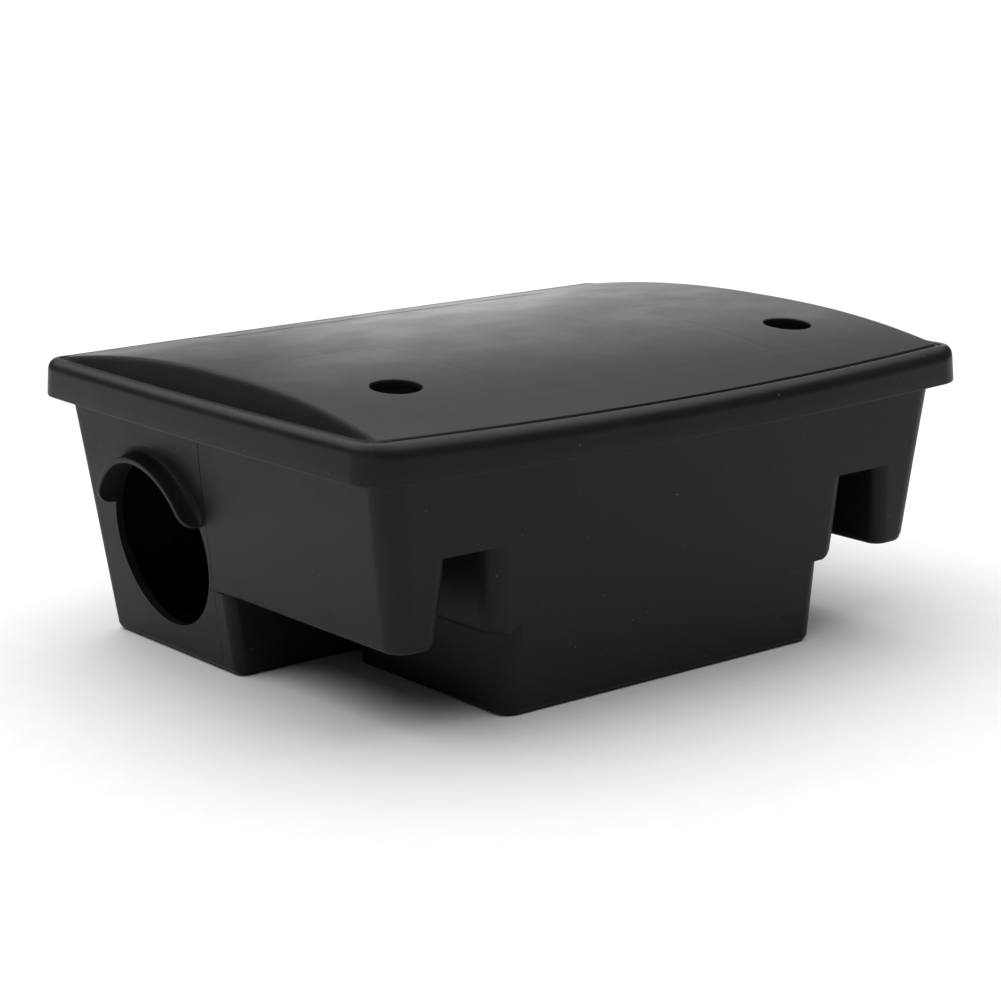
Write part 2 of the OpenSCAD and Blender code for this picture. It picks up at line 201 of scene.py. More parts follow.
def outline(corners, inset=0.0, arc=9):
    """Closed counter-clockwise outline. corners holds (x, y, radius, steps to the next corner).
    Returns the points and, for each corner, the first and last index of its arc."""
    n = len(corners)
    edges = []
    for i in range(n):
        a, b = Vector(corners[i][:2]), Vector(corners[(i + 1) % n][:2])
        along = (b - a).normalized()
        edges.append((a + Vector((-along.y, along.x)) * inset, along))
    points, spans, arcs = [], [], []
    for i in range(n):
        (p, u), (q, w) = edges[i - 1], edges[i]
        cross = u.x * w.y - u.y * w.x
        corner = p + u * (((q.x - p.x) * w.y - (q.y - p.y) * w.x) / cross)
        side = 1 if cross > 0 else -1
        radius = max(corners[i][2] - inset * side, 0.15)
        turn = math.acos(max(-1.0, min(1.0, u.dot(w))))
        touch = corner - u * radius * math.tan(turn / 2)
        centre = touch + Vector((-u.y, u.x)) * radius * side
        start = math.atan2(touch.y - centre.y, touch.x - centre.x)
        arcs.append([(centre.x + radius * math.cos(start + side * turn * k / arc),
                      centre.y + radius * math.sin(start + side * turn * k / arc)) for k in range(arc + 1)])
    for i, arc_points in enumerate(arcs):
        spans.append((len(points), len(points) + arc))
        points += arc_points
        (x1, y1), (x2, y2) = arc_points[-1], arcs[(i + 1) % n][0]
        steps = corners[i][3]
        points += [(x1 + (x2 - x1) * k / steps, y1 + (y2 - y1) * k / steps) for k in range(1, steps)]
    return points, spans


def rectangle(x1, y1, x2, y2):
    return [(x1, y1), (x2, y1), (x2, y2), (x1, y2)]


def circle(cx, cy, r, n=72):
    return [(cx + r * math.cos(2 * math.pi * k / n), cy + r * math.sin(2 * math.pi * k / n)) for k in range(n)]


def made_mesh(obj):
    """Turns an object's evaluated shape into its own plain mesh."""
    mesh = bpy.data.meshes.new_from_object(obj.evaluated_get(bpy.context.evaluated_depsgraph_get()))
    obj.modifiers.clear()
    obj.data = mesh


def cut(target, *cutters):
    """Subtracts cutters from target for good."""
    for cutter in cutters:
        modifier = target.modifiers.new("cut", "BOOLEAN")
        modifier.operation, modifier.solver, modifier.object = "DIFFERENCE", "EXACT", cutter
        made_mesh(target)
        bpy.data.objects.remove(cutter)


def join(target, *others):
    """Adds the meshes of others to target."""
    work = bmesh.new()
    work.from_mesh(target.data)
    for other in others:
        work.from_mesh(other.data)
        bpy.data.objects.remove(other)
    work.to_mesh(target.data)
    work.free()


def finish_shading(obj, material, angle=32):
    mesh = obj.data
    mesh.materials.clear()
    mesh.materials.append(material)
    for polygon in mesh.polygons:
        polygon.use_smooth = True
        polygon.material_index = 0
    mesh.set_sharp_from_angle(angle=math.radians(angle))
    weighted = obj.modifiers.new("even shading", "WEIGHTED_NORMAL")
    weighted.mode, weighted.keep_sharp, weighted.weight = "FACE_AREA", True, 60


def hand_over(obj, node, slot, body, material, angle=32):
    """Finishes a piece and lets it stand for a CAD node."""
    obj.name = obj.data.name = node + "_moulding" if "plastic" in slot else node + "_made"
    finish_shading(obj, material, angle)
    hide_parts(node)
    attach(obj, body)


# ------------------------------------------------------------------ materials
def nodes_of(name):
    material = bpy.data.materials.new(name)
    material.use_nodes = True
    tree = material.node_tree
    tree.nodes.clear()
    out = tree.nodes.new("ShaderNodeOutputMaterial")
    shader = tree.nodes.new("ShaderNodeBsdfPrincipled")
    tree.links.new(shader.outputs[0], out.inputs["Surface"])
    return material, tree, shader


def ramp(tree, source, stops):
    node = tree.nodes.new("ShaderNodeValToRGB")
    while len(node.color_ramp.elements) < len(stops):
        node.color_ramp.elements.new(0.5)
    for element, (place, value) in zip(node.color_ramp.elements, stops):
        element.position = place
        element.color = (*value, 1) if isinstance(value, tuple) else (value, value, value, 1)
    tree.links.new(source, node.inputs[0])
    return node.outputs[0]


def noise(tree, coords, scale, detail=3.0, rough=0.5):
    node = tree.nodes.new("ShaderNodeTexNoise")
    node.inputs["Scale"].default_value = scale
    node.inputs["Detail"].default_value = detail
    node.inputs["Roughness"].default_value = rough
    tree.links.new(coords, node.inputs["Vector"])
    return node.outputs["Fac"]


def bump(tree, height, distance, strength, before=None):
    node = tree.nodes.new("ShaderNodeBump")
    node.inputs["Distance"].default_value = distance
    node.inputs["Strength"].default_value = strength
    tree.links.new(height, node.inputs["Height"])
    if before:
        tree.links.new(before, node.inputs["Normal"])
    return node.outputs[0]


def sink_marks(tree, coords, lines):
    """How deep the skin sinks over the ribs behind it.
    lines holds (middle x, middle y, half length in x, half length in y) in millimetres, mirrored about the middle."""
    def maths(operation, *values):
        node = tree.nodes.new("ShaderNodeMath")
        node.operation = operation
        for socket, value in zip(node.inputs, values):
            if isinstance(value, (int, float)):
                socket.default_value = value
            else:
                tree.links.new(value, socket)
        return node.outputs[0]

    where = tree.nodes.new("ShaderNodeSeparateXYZ")
    tree.links.new(coords, where.inputs[0])
    x = maths("ABSOLUTE", where.outputs["X"])
    depth = None
    for cx, cy, hx, hy in lines:
        along = maths("SUBTRACT", maths("ABSOLUTE", maths("SUBTRACT", x, cx * MM)), hx * MM)
        across = maths("SUBTRACT", maths("ABSOLUTE", maths("SUBTRACT", where.outputs["Y"], cy * MM)), hy * MM)
        fade = tree.nodes.new("ShaderNodeMapRange")
        fade.interpolation_type = "SMOOTHSTEP"
        for label, value in (("From Min", 0.0), ("From Max", 0.0018), ("To Min", 0.0), ("To Max", 1.0)):
            fade.inputs[label].default_value = value
        tree.links.new(maths("MAXIMUM", along, across), fade.inputs["Value"])
        depth = fade.outputs[0] if depth is None else maths("MINIMUM", depth, fade.outputs[0])
    return depth


def moulded_plastic(name, shade, rough_low, rough_high, gloss=0.17, grain=0.00003, ripple=0.0006, sinks=()):
    """Satin moulded polypropylene: fine spark-eroded grain, faint flow ripples, cloudy gloss and specks of dust."""
    material, tree, shader = nodes_of(name)
    coords = tree.nodes.new("ShaderNodeTexCoord").outputs["Object"]
    cloudy = noise(tree, coords, 55, 4, 0.62)
    specks = ramp(tree, noise(tree, coords, 900, 1, 0.3), [(0.0, 0.0), (0.8, 0.0), (0.83, 1.0)])
    base = ramp(tree, cloudy, [(0.3, tuple(c * 0.84 for c in shade)), (0.7, tuple(c * 1.16 for c in shade))])
    dusty = tree.nodes.new("ShaderNodeMix")
    dusty.data_type = "RGBA"
    dusty.inputs["B"].default_value = (0.075, 0.073, 0.07, 1)
    tree.links.new(specks, dusty.inputs["Factor"])
    tree.links.new(base, dusty.inputs["A"])
    tree.links.new(dusty.outputs["Result"], shader.inputs["Base Color"])
    tree.links.new(ramp(tree, cloudy, [(0.25, rough_low), (0.75, rough_high)]), shader.inputs["Roughness"])
    shader.inputs["IOR"].default_value = 1.49
    shader.inputs["Specular IOR Level"].default_value = gloss
    flow = bump(tree, noise(tree, coords, 16, 2, 0.4), ripple, 0.3)
    if sinks:
        flow = bump(tree, sink_marks(tree, coords, sinks), 0.00003, 0.8, flow)
    skin = bump(tree, noise(tree, coords, 2400, 2, 0.6), grain, 0.5, flow)
    tree.links.new(skin, shader.inputs["Normal"])
    return material


def drawn_steel(name, shade, rough=0.3, along="Z"):
    """Drawn or pressed steel with lengthwise scratches and a zinc bloom."""
    material, tree, shader = nodes_of(name)
    coords = tree.nodes.new("ShaderNodeTexCoord").outputs["Object"]
    stretch = tree.nodes.new("ShaderNodeMapping")
    stretch.inputs["Scale"].default_value = {"X": (0.05, 1, 1), "Y": (1, 0.05, 1), "Z": (1, 1, 0.05)}[along]
    tree.links.new(coords, stretch.inputs["Vector"])
    lines = noise(tree, stretch.outputs[0], 1800, 3, 0.6)
    bloom = noise(tree, coords, 220, 4, 0.65)
    dull = tuple(c * 0.72 for c in shade)
    tree.links.new(ramp(tree, bloom, [(0.3, dull), (0.65, shade)]), shader.inputs["Base Color"])
    tree.links.new(ramp(tree, lines, [(0.2, rough * 0.7), (0.8, rough * 1.5)]), shader.inputs["Roughness"])
    shader.inputs["Metallic"].default_value = 1.0
    tree.links.new(bump(tree, lines, 0.00003, 0.6), shader.inputs["Normal"])
    return material


BLACK = (0.0092, 0.0092, 0.0096)
base_plastic = moulded_plastic("base polypropylene", BLACK, 0.4, 0.5)
lid_plastic = moulded_plastic("lid polypropylene", BLACK, 0.34, 0.43,
                              sinks=((0, RIB_FRONT, RIB_HALF, 0.5),
                                     (BAY_IN, (RIB_FRONT + RIB_BACK) / 2, 0.5, (RIB_BACK - RIB_FRONT) / 2),
                                     ((BAY_IN + BAY_OUT) / 2, RIB_BACK, (BAY_OUT - BAY_IN) / 2, 0.5)))
tray_plastic = moulded_plastic("tray polypropylene", (0.015, 0.015, 0.016), 0.34, 0.44)
insert_plastic = moulded_plastic("baffle sheet", (0.019, 0.019, 0.02), 0.38, 0.48)
spindle_nylon = moulded_plastic("spindle nylon", (0.013, 0.013, 0.013), 0.28, 0.38)
rod_steel = drawn_steel("galvanised rod", (0.6, 0.61, 0.62), 0.34, "Z")
pin_steel = drawn_steel("stainless pin", (0.62, 0.62, 0.63), 0.26, "X")
cam_steel = drawn_steel("zinc plated steel", (0.58, 0.58, 0.56), 0.38, "Y")
spring_steel = drawn_steel("spring steel", (0.45, 0.45, 0.46), 0.3, "X")


# ------------------------------------------------------------------ base moulding
def wall_x(z):
    """Outer face of the end walls."""
    return FOOT_X + LEAN_X * z


def base_halves(z):
    """How far the end, front and back walls stand from the middle at height z."""
    return wall_x(z), FRONT_Y + LEAN_FRONT * z, BACK_Y + LEAN_BACK * z


def bowed(points, z):
    """Lifts a plan outline to height z and bows the long walls out towards the rim."""
    mean_half_depth = 87
    k = BASE_BOW * z / RIM_Z / mean_half_depth
    return [(x, y * (1 + k * max(0.0, 1 - (x / BASE_BOW_X) ** 2)), z) for x, y in points]


def front_r(z):
    return FRONT_R + R_GROWTH * z


def back_r(z):
    return BACK_R + R_GROWTH * z


def notched_corners(z):
    """Plan of the upper tier with its two front notches; the notches widen downwards."""
    x, f, b = base_halves(z)
    r = front_r(z)
    inner, outer = NOTCH_IN - 0.063 * (NOTCH_Z - z), NOTCH_OUT + 0.09 * (NOTCH_Z - z)
    return [(-x, -f, r, 1),
            (-outer, -f, 5.0, 8), (-outer, TUNNEL_Y, 1.5, 1), (-inner, TUNNEL_Y, 1.5, 8), (-inner, -f, 6.0, 40),
            (inner, -f, 6.0, 8), (inner, TUNNEL_Y, 1.5, 1), (outer, TUNNEL_Y, 1.5, 8), (outer, -f, 5.0, 1),
            (x, -f, r, 12), (x, b, back_r(z), 16), (-x, b, back_r(z), 12)]


NOTCH_SPANS = ((1, 4), (5, 8))        # corner numbers where each notch starts and ends


def without_notches(points, spans):
    """Numbers of the outline points that carry on up the plain wall above the notches."""
    gone = [(spans[a][0], spans[b][1]) for a, b in NOTCH_SPANS]
    return [k for k in range(len(points)) if not any(start < k < end for start, end in gone)]


def plain_level(keep, z, inset):
    """The wall above the notches, moved in by inset, with the same points as the notched outline below."""
    points, _ = outline(notched_corners(NOTCH_Z), min(inset, WALL))
    old = [half - min(inset, WALL) for half in base_halves(NOTCH_Z)]
    new = [half - inset for half in base_halves(z)]
    moved = []
    for x, y in (points[k] for k in keep):
        moved.append((x * new[0] / old[0], y * (new[1] / old[1] if y < 0 else new[2] / old[2])))
    return bowed(moved, z)


def well_corners(z):
    _, f, _ = base_halves(z)
    half = WELL_X - 0.4 + 0.02 * z
    return [(-half, -f, 5.5, 12), (half, -f, 5.5, 4), (half, WELL_BACK, 6, 12), (-half, WELL_BACK, 6, 4)]


def tunnel_corners(z):
    x, _, b = base_halves(z)
    return [(-x, TUNNEL_Y, 3.5, 8), (x, TUNNEL_Y, 3.5, 4), (x, b, back_r(z), 16), (-x, b, back_r(z), 4)]


def trough(corners_at, wall):
    """A closed cup from the ledge to the ground, rounded where it meets the ground and inside on its floor."""
    m = Moulding()
    foot, r = 2.3, 2.0
    quarter = [math.radians(d) for d in range(0, 91, 15)]
    levels = [(foot * (1 - math.sin(a)), foot * (1 - math.cos(a))) for a in reversed(quarter)]
    rings = [m.ring(bowed(outline(corners_at(z), inset)[0], z)) for z, inset in levels + [(LEDGE_Z, 0)]]
    levels = [(WALL + r * (1 - math.sin(a)), wall + r * (1 - math.cos(a))) for a in reversed(quarter)]
    inner = [m.ring(bowed(outline(corners_at(z), inset)[0], z)) for z, inset in levels + [(LEDGE_Z, wall)]]
    m.cap(rings[0], up=False)
    m.tube(rings)
    m.cap(inner[0], up=True)
    for low, high in zip(inner, inner[1:]):
        m.band(high, low)
    m.plate(rings[-1], [inner[-1]], up=True)
    return m


def upper_tier():
    """The open tray above the ledge: notched walls, raised floors over the notches, mid floor and rim."""
    m = Moulding()
    foot = 1.8
    full, spans = outline(notched_corners(LEDGE_Z))
    keep = without_notches(full, spans)

    def eased(x, y):
        # the foot is rounded round the corner pockets and the ledge, not along the tunnel or the front of the well
        return smooth((TUNNEL_Y + 2.5 - y) / 4) * (1 if y > 8 - FRONT_Y else smooth((abs(x) - WELL_X + 1) / 5))

    rings = []
    for degrees in range(0, 91, 15):
        a = math.radians(degrees)
        tucked, _ = outline(notched_corners(LEDGE_Z), foot * (1 - math.sin(a)))
        ring = []
        for (px, py), (qx, qy) in zip(full, tucked):
            w = eased(px, py)
            z = LEDGE_Z + foot * (1 - math.cos(a)) * w
            ring.append(bowed([(px + (qx - px) * w, py + (qy - py) * w)], z)[0])
        rings.append(m.ring(ring))
    for z in (LEDGE_Z + foot + 0.5, (LEDGE_Z + NOTCH_Z) / 2, NOTCH_Z):
        rings.append(m.ring(bowed(outline(notched_corners(z))[0], z)))
    m.tube(rings)
    top = rings[-1]
    for first, last in NOTCH_SPANS:                       # ceilings of the notches
        m.faces.append(tuple(top[k] for k in range(spans[last][1], spans[first][0] - 1, -1)))
    low = [top[k] for k in keep]
    # plain wall, then the bead round the rim
    for z, inset in ((62, 0), (72, 0), (82.6, 0), (83.2, -0.25), (83.5, -1.0), (83.9, -1.2), (RIM_Z - 0.5, -1.2),
                     (RIM_Z - 0.1, -1.0), (RIM_Z, -0.6)):
        high = m.ring(plain_level(keep, z, inset))
        m.band(low, high)
        low = high
    deck_z, floor_z = NOTCH_Z + WALL, LEDGE_Z + WALL
    inner = m.ring(plain_level(keep, RIM_Z, WALL - 0.4))
    m.plate(low, [inner], up=True)
    for z in (RIM_Z - 0.4, 72, 62):
        low = m.ring(plain_level(keep, z, WALL))
        m.band(inner, low)
        inner = low
    deck = bowed(outline(notched_corners(deck_z), WALL)[0], deck_z)
    for k, point in zip(keep, plain_level(keep, deck_z, WALL)):
        deck[k] = point
    deck = m.ring(deck)
    m.band(inner, [deck[k] for k in keep])
    inner = deck
    for first, last in NOTCH_SPANS:                       # raised floors over the notches
        m.faces.append(tuple(inner[k] for k in range(spans[first][0], spans[last][1] + 1)))
    for z in ((deck_z + floor_z) / 2, floor_z):
        low = m.ring(bowed(outline(notched_corners(z), WALL)[0], z))
        m.band(inner, low)
        inner = low
    holes_low = [m.ring(bowed(outline(shape(LEDGE_Z), wall)[0], LEDGE_Z))
                 for shape, wall in ((well_corners, WALL), (tunnel_corners, TUNNEL_WALL))]
    holes_top = [m.ring([(m.points[i][0], m.points[i][1], floor_z) for i in hole]) for hole in holes_low]
    m.plate(inner, holes_top, up=True)
    for a, b in zip(holes_top, holes_low):
        m.band(a, b)
    m.plate(rings[0], holes_low, up=False)
    return m


def entrance_cutter():
    m = Moulding()
    m.lathe("X", (HOLE_Y, HOLE_Z), [(-130, HOLE_R), (130, HOLE_R)], 96)
    return m.object("entrance cutter")


def parting_cutter(side):
    """A fine parting line down the end wall, ahead of the entrance, and a short nick near the back corner."""
    m = Moulding()
    depth, narrow = 0.32, 0.4
    groove = ((-depth, -narrow), (1, -1), (1, 1), (-depth, narrow))
    # each path holds (y, z, half width at the wall), from the top down
    line = [(8.3, 74.6, 0.26), (10.6, 56, 0.24), (11.5, 39, 0.16),
            (12.4, 27.5, 0.12), (13.0, 14, 0.12), (13.0, 4.2, 0.1)]
    nick = [(75.7, 39.5, 0.2), (76.2, 35.4, 0.2)]
    for path in (line, nick):
        m.solid([m.ring([(side * (wall_x(z) + out), y + half * turn, z) for out, turn in groove])
                 for y, z, half in reversed(path)])
    return m.object("parting cutter")


def hood(side):
    """The lip over the upper half of an entrance, with rounded lower ends and a filleted root."""
    m = Moulding()
    start, end = (math.radians(degrees) for degrees in HOOD_SPAN)
    rings = []
    for k in range(73):
        angle = start + (end - start) * (0.5 - 0.5 * math.cos(math.pi * k / 72))
        run = (HOLE_R + 0.5) * min(angle - start, end - angle)      # along the lip, to its nearer end
        turn = 5.0
        out = HOOD_OUT - turn + math.sqrt(turn ** 2 - max(turn - run, 0) ** 2)
        root = HOOD_RIM + (HOOD_ROOT - HOOD_RIM) * smooth((run + 0.6) / 5)
        section = [(0, -2.2), (0, out - 0.55), (0.12, out - 0.2), (0.45, out), (HOOD_RIM - 0.5, out),
                   (HOOD_RIM - 0.14, out - 0.18), (HOOD_RIM, out - 0.6)]
        for t in (0.3, 0.5, 0.7, 0.82, 0.92, 1.0):
            fillet = (1 - math.sqrt(max(0.0, 1 - t ** 3.2))) ** 1.1
            section.append((HOOD_RIM + 0.35 * t + (root - HOOD_RIM) * fillet, (out - 0.6) * (1 - t) + 0.04))
        section.append((root + 0.3, -1.6))
        ring = []
        for r, d in section:
            y, z = HOLE_Y + (HOLE_R + r) * math.cos(angle), HOLE_Z + (HOLE_R + r) * math.sin(angle)
            ring.append((side * (wall_x(z) + d), y, z))
        rings.append(m.ring(ring))
    m.solid(rings)
    return m.object("hood")


def hinge_barrel(m, start, length, bore):
    """A barrel on the hinge axis with eased ends and a bore for the pin."""
    end, chamfer = start + length, 0.3
    profile = [(start, bore), (start, HINGE_R - chamfer), (start + chamfer, HINGE_R),
               (end - chamfer, HINGE_R), (end, HINGE_R - chamfer), (end, bore)]
    m.lathe("X", (HINGE_Y, HINGE_Z), profile, 48, closed=True)


def base_fittings():
    """Everything moulded onto the inside and the back of the base."""
    m = Moulding()
    low, high = LEDGE_Z + 0.5, LEDGE_Z + 36
    m.bar("Y", TUNNEL_Y, TUNNEL_Y + WALL, [(-10, low), (10, low), (10, high, 3), (-10, high, 3)])
    for side in SIDES:
        m.bar("Y", TUNNEL_Y, TUNNEL_Y + WALL, [(side * 50, low), (side * (wall_x(low) - 1), low),
                                               (side * (wall_x(high) - 1), high), (side * 50, high, 3)])
        # strike: block, upright and overhanging lip that the lock's tongue turns under
        hub = box_mm("lock_cam_right")[0][2]
        face, lip, block = STRIKE_X, STRIKE_X - 4, 86.8
        m.bar("Y", LOCK_Y - 5, LOCK_Y + 5,
              [(side * block, NOTCH_Z + 0.4), (side * (face + 2.5), NOTCH_Z + 0.4),
               (side * (face + 2.5), hub + 5.5, 0.8), (side * lip, hub + 5.5), (side * lip, hub + 2.9),
               (side * face, hub + 2.9, 0.2), (side * face, hub - 0.4, 0.2), (side * block, hub - 0.4)], edge=0.3)
        # stop that the opened skirt rests on
        lean, reach = math.radians(20), 4.4
        stop = [(y, -(reach + y * math.sin(lean)) / math.cos(lean)) for y in (-7.4, 3.2)] + [(3.2, -7.2), (-8.4, -15)]
        m.bar("X", side * HINGE_X - 4, side * HINGE_X + 4, [(HINGE_Y + y, HINGE_Z + z) for y, z in stop])
        # lugs with their bores
        for start in (side * HINGE_X - 2 * LUG_W, side * HINGE_X + LUG_W):
            hinge_barrel(m, start, LUG_W, 1.52)
            m.bar("X", start, start + LUG_W,
                  [(HINGE_Y - 8, HINGE_Z - HINGE_R), (HINGE_Y - 1.8, HINGE_Z - HINGE_R, 0.2),
                   (HINGE_Y - 1.8, HINGE_Z + HINGE_R, 0.2), (HINGE_Y - 8, HINGE_Z + HINGE_R)], edge=0.3)
        # slots that hold a baffle upright
        x = side * middle("baffle_right")[0]
        back = box_mm("baffle_right")[1][1]
        for turn in SIDES:
            at = x + turn * 1.85
            m.bar("Z", 2, 59.5, rectangle(at - 0.75, 7, at + 0.75, 11))
            m.bar("Z", 2, 51.5, rectangle(at - 0.75, back - 4, at + 0.75, back + 1.1))
        m.bar("Z", 2, 51.5, rectangle(x - 2.6, back + 0.2, x + 2.6, back + 1.7))
    return m.object("fittings")


def build_base():
    base = upper_tier().object("base")
    well = trough(well_corners, WALL).object("well")
    tunnel = trough(tunnel_corners, TUNNEL_WALL).object("tunnel")
    cut(base, entrance_cutter(), parting_cutter(-1), parting_cutter(1))
    screws = Moulding()
    for side in SIDES:
        for y in (22, 66):
            screws.lathe("Z", (side * 78, y), [(-1, 2.5), (2.1, 2.5), (3.6, 4.0)], 40)
    cut(tunnel, entrance_cutter(), parting_cutter(-1), parting_cutter(1), screws.object("screw cutter"))
    join(base, well, tunnel, hood(-1), hood(1), base_fittings(), tread_ribs())
    return base


# ------------------------------------------------------------------ ribs, by geometry nodes
def rib_tree(name):
    """Node tree that turns plan lines into upright ribs with a flat foot and slightly rounded crowns.
    Under the lid the ribs follow its arch; on the floor they lie flat."""
    tree = bpy.data.node_groups.new(name, "GeometryNodeTree")
    face = tree.interface
    face.new_socket("Geometry", in_out="INPUT", socket_type="NodeSocketGeometry")
    for label, value in (("Rib thickness", 0.0012), ("Rib height", 0.002), ("Middle height", 0.0),
                         ("Arch curvature", 0.0), ("Point spacing", 0.004)):
        face.new_socket(label, in_out="INPUT", socket_type="NodeSocketFloat").default_value = value
    face.new_socket("Rib material", in_out="INPUT", socket_type="NodeSocketMaterial")
    face.new_socket("Geometry", in_out="OUTPUT", socket_type="NodeSocketGeometry")

    def node(kind, **settings):
        made = tree.nodes.new(kind)
        for key, value in settings.items():
            setattr(made, key, value)
        return made

    def math_node(operation, a, b):
        made = node("ShaderNodeMath", operation=operation)
        for socket, value in zip(made.inputs, (a, b)):
            if isinstance(value, (int, float)):
                socket.default_value = value
            else:
                tree.links.new(value, socket)
        return made.outputs[0]

    given = node("NodeGroupInput").outputs
    curve = node("GeometryNodeMeshToCurve")
    tree.links.new(given["Geometry"], curve.inputs[0])
    spaced = node("GeometryNodeResampleCurve", mode="LENGTH")
    tree.links.new(curve.outputs[0], spaced.inputs["Curve"])
    tree.links.new(given["Point spacing"], spaced.inputs["Length"])
    where = node("ShaderNodeSeparateXYZ")
    tree.links.new(node("GeometryNodeInputPosition").outputs[0], where.inputs[0])
    squared = math_node("MULTIPLY", where.outputs["Y"], where.outputs["Y"])
    drop = math_node("MULTIPLY", squared, given["Arch curvature"])
    height = math_node("SUBTRACT", given["Middle height"], drop)
    placed = node("ShaderNodeCombineXYZ")
    for axis in "XY":
        tree.links.new(where.outputs[axis], placed.inputs[axis])
    tree.links.new(height, placed.inputs["Z"])
    moved = node("GeometryNodeSetPosition")
    tree.links.new(spaced.outputs[0], moved.inputs["Geometry"])
    tree.links.new(placed.outputs[0], moved.inputs["Position"])
    upright = node("GeometryNodeSetCurveNormal", mode="Z_UP")
    tree.links.new(moved.outputs[0], upright.inputs["Curve"])
    section = node("GeometryNodeCurvePrimitiveQuadrilateral", mode="RECTANGLE")
    tree.links.new(given["Rib thickness"], section.inputs["Width"])
    tree.links.new(given["Rib height"], section.inputs["Height"])
    eased = node("GeometryNodeFilletCurve", mode="POLY")
    tree.links.new(section.outputs[0], eased.inputs["Curve"])
    tree.links.new(math_node("MULTIPLY", given["Rib thickness"], 0.3), eased.inputs["Radius"])
    eased.inputs["Count"].default_value = 3
    swept = node("GeometryNodeCurveToMesh")
    tree.links.new(upright.outputs[0], swept.inputs["Curve"])
    tree.links.new(eased.outputs[0], swept.inputs["Profile Curve"])
    swept.inputs["Fill Caps"].default_value = True
    whole = node("GeometryNodeRealizeInstances")
    tree.links.new(swept.outputs[0], whole.inputs[0])
    finished = node("GeometryNodeSetMaterial")
    tree.links.new(whole.outputs[0], finished.inputs["Geometry"])
    tree.links.new(given["Rib material"], finished.inputs["Material"])
    tree.links.new(finished.outputs[0], node("NodeGroupOutput").inputs[0])
    return tree


RIBS = rib_tree("moulded ribs")


def ribs(name, lines, material, **sizes):
    """Ribs along plan lines given as ((x1, y1), (x2, y2)) in millimetres; sizes are in millimetres too."""
    mesh = bpy.data.meshes.new(name)
    points = [(x * MM, y * MM, 0) for line in lines for x, y in line]
    mesh.from_pydata(points, [(2 * k, 2 * k + 1) for k in range(len(lines))], [])
    made = link(name, mesh)
    modifier = made.modifiers.new("ribs", "NODES")
    modifier.node_group = RIBS
    sockets = {item.name: item.identifier for item in RIBS.interface.items_tree if item.in_out == "INPUT"}
    for label, value in sizes.items():
        modifier[sockets[label.replace("_", " ").capitalize()]] = value
    modifier[sockets["Rib material"]] = material
    made_mesh(made)
    return made


def tread_ribs():
    """Low ribs across the tunnel floor that give the animals a footing."""
    lines = [((x, 12), (x, 70)) for x in range(-48, 49, 12)]
    return ribs("tread ribs", lines, base_plastic, rib_thickness=1.4 * MM, rib_height=1.2 * MM,
                middle_height=(WALL + 0.2) * MM, point_spacing=20 * MM)


base = build_base()
hand_over(base, "base_shell", "base_plastic", "base", base_plastic)


# ------------------------------------------------------------------ lid moulding
def meet(c1, r1, c2, r2):
    """Where two circles cross, on the side away from the middle."""
    apart = c2 - c1
    d = apart.length
    along = (r1 * r1 - r2 * r2 + d * d) / (2 * d)
    off = math.sqrt(r1 * r1 - along * along)
    u = apart / d
    points = [c1 + u * along + Vector((-u.y, u.x)) * off * turn for turn in SIDES]
    return max(points, key=lambda p: p.x + p.y)


def lid_plan(n_long=40, n_short=30, n_arc=14):
    """Plan of the lid: four bowed sides and four round corners, each tangent to the next.
    Gives (x, y, normal x, normal y), counter-clockwise from the middle of the right side."""
    def big(half, bow):
        return (half * half + bow * bow) / (2 * bow)
    r_long, r_short = big(LID_X - LID_R, LID_BOW_LONG), big(LID_Y - LID_R, LID_BOW_SHORT)
    c_long, c_short = Vector((0, LID_Y - r_long)), Vector((LID_X - r_short, 0))
    c = meet(c_long, r_long - LID_R, c_short, r_short - LID_R)
    low = math.atan2(*reversed(c - c_short))
    high = math.atan2(*reversed(c - c_long))
    quarter = []
    for centre, radius, start, end, n in ((c_short, r_short, 0, low, n_short), (c, LID_R, low, high, n_arc),
                                          (c_long, r_long, high, math.pi / 2, n_long)):
        for k in range(n):
            a = start + (end - start) * k / n
            nx, ny = math.cos(a), math.sin(a)
            quarter.append((centre.x + radius * nx, centre.y + radius * ny, nx, ny))
    quarter.append((0.0, LID_Y, 0.0, 1.0))
    half = quarter[:-1] + [(-x, y, -nx, ny) for x, y, nx, ny in reversed(quarter)][:-1]
    return half + [(-x, -y, -nx, -ny) for x, y, nx, ny in half]


LID_PLAN = lid_plan()


def lid_line(inset):
    return [(x - nx * inset, y - ny * inset) for x, y, nx, ny in LID_PLAN]


def arch(x, y):
    """Dome above the plan: crowned across, fuller at the front, and a little along the lid."""
    along = (x / BOW_X) ** 2
    top, edge = CROWN_Z - CROWN_FALL * along, EDGE_Z - SAG * max(0.0, 1 - along)
    return top - (top - edge) * abs(y / (LID_Y - CREASE - LID_BOW_LONG * along)) ** (2.7 if y < 0 else 2.0)


def rim_ring(m, short, long):
    """One ring of the outside of the rim, given by its inset and height on the short and on the long sides.
    The long sides sag towards their middles, and the way in is shorter round the corners."""
    points = []
    for x, y, nx, ny in LID_PLAN:
        w = ny ** 4
        inset = (short[0] + (long[0] - short[0]) * w) * (1 - 0.3 * (2 * nx * ny) ** 2)
        z = short[1] + (long[1] - short[1]) * w
        points.append((x - nx * inset, y - ny * inset,
                       z - w * SAG * smooth((z - 80) / 6) * max(0.0, 1 - (x / BOW_X) ** 2)))
    return m.ring(points)


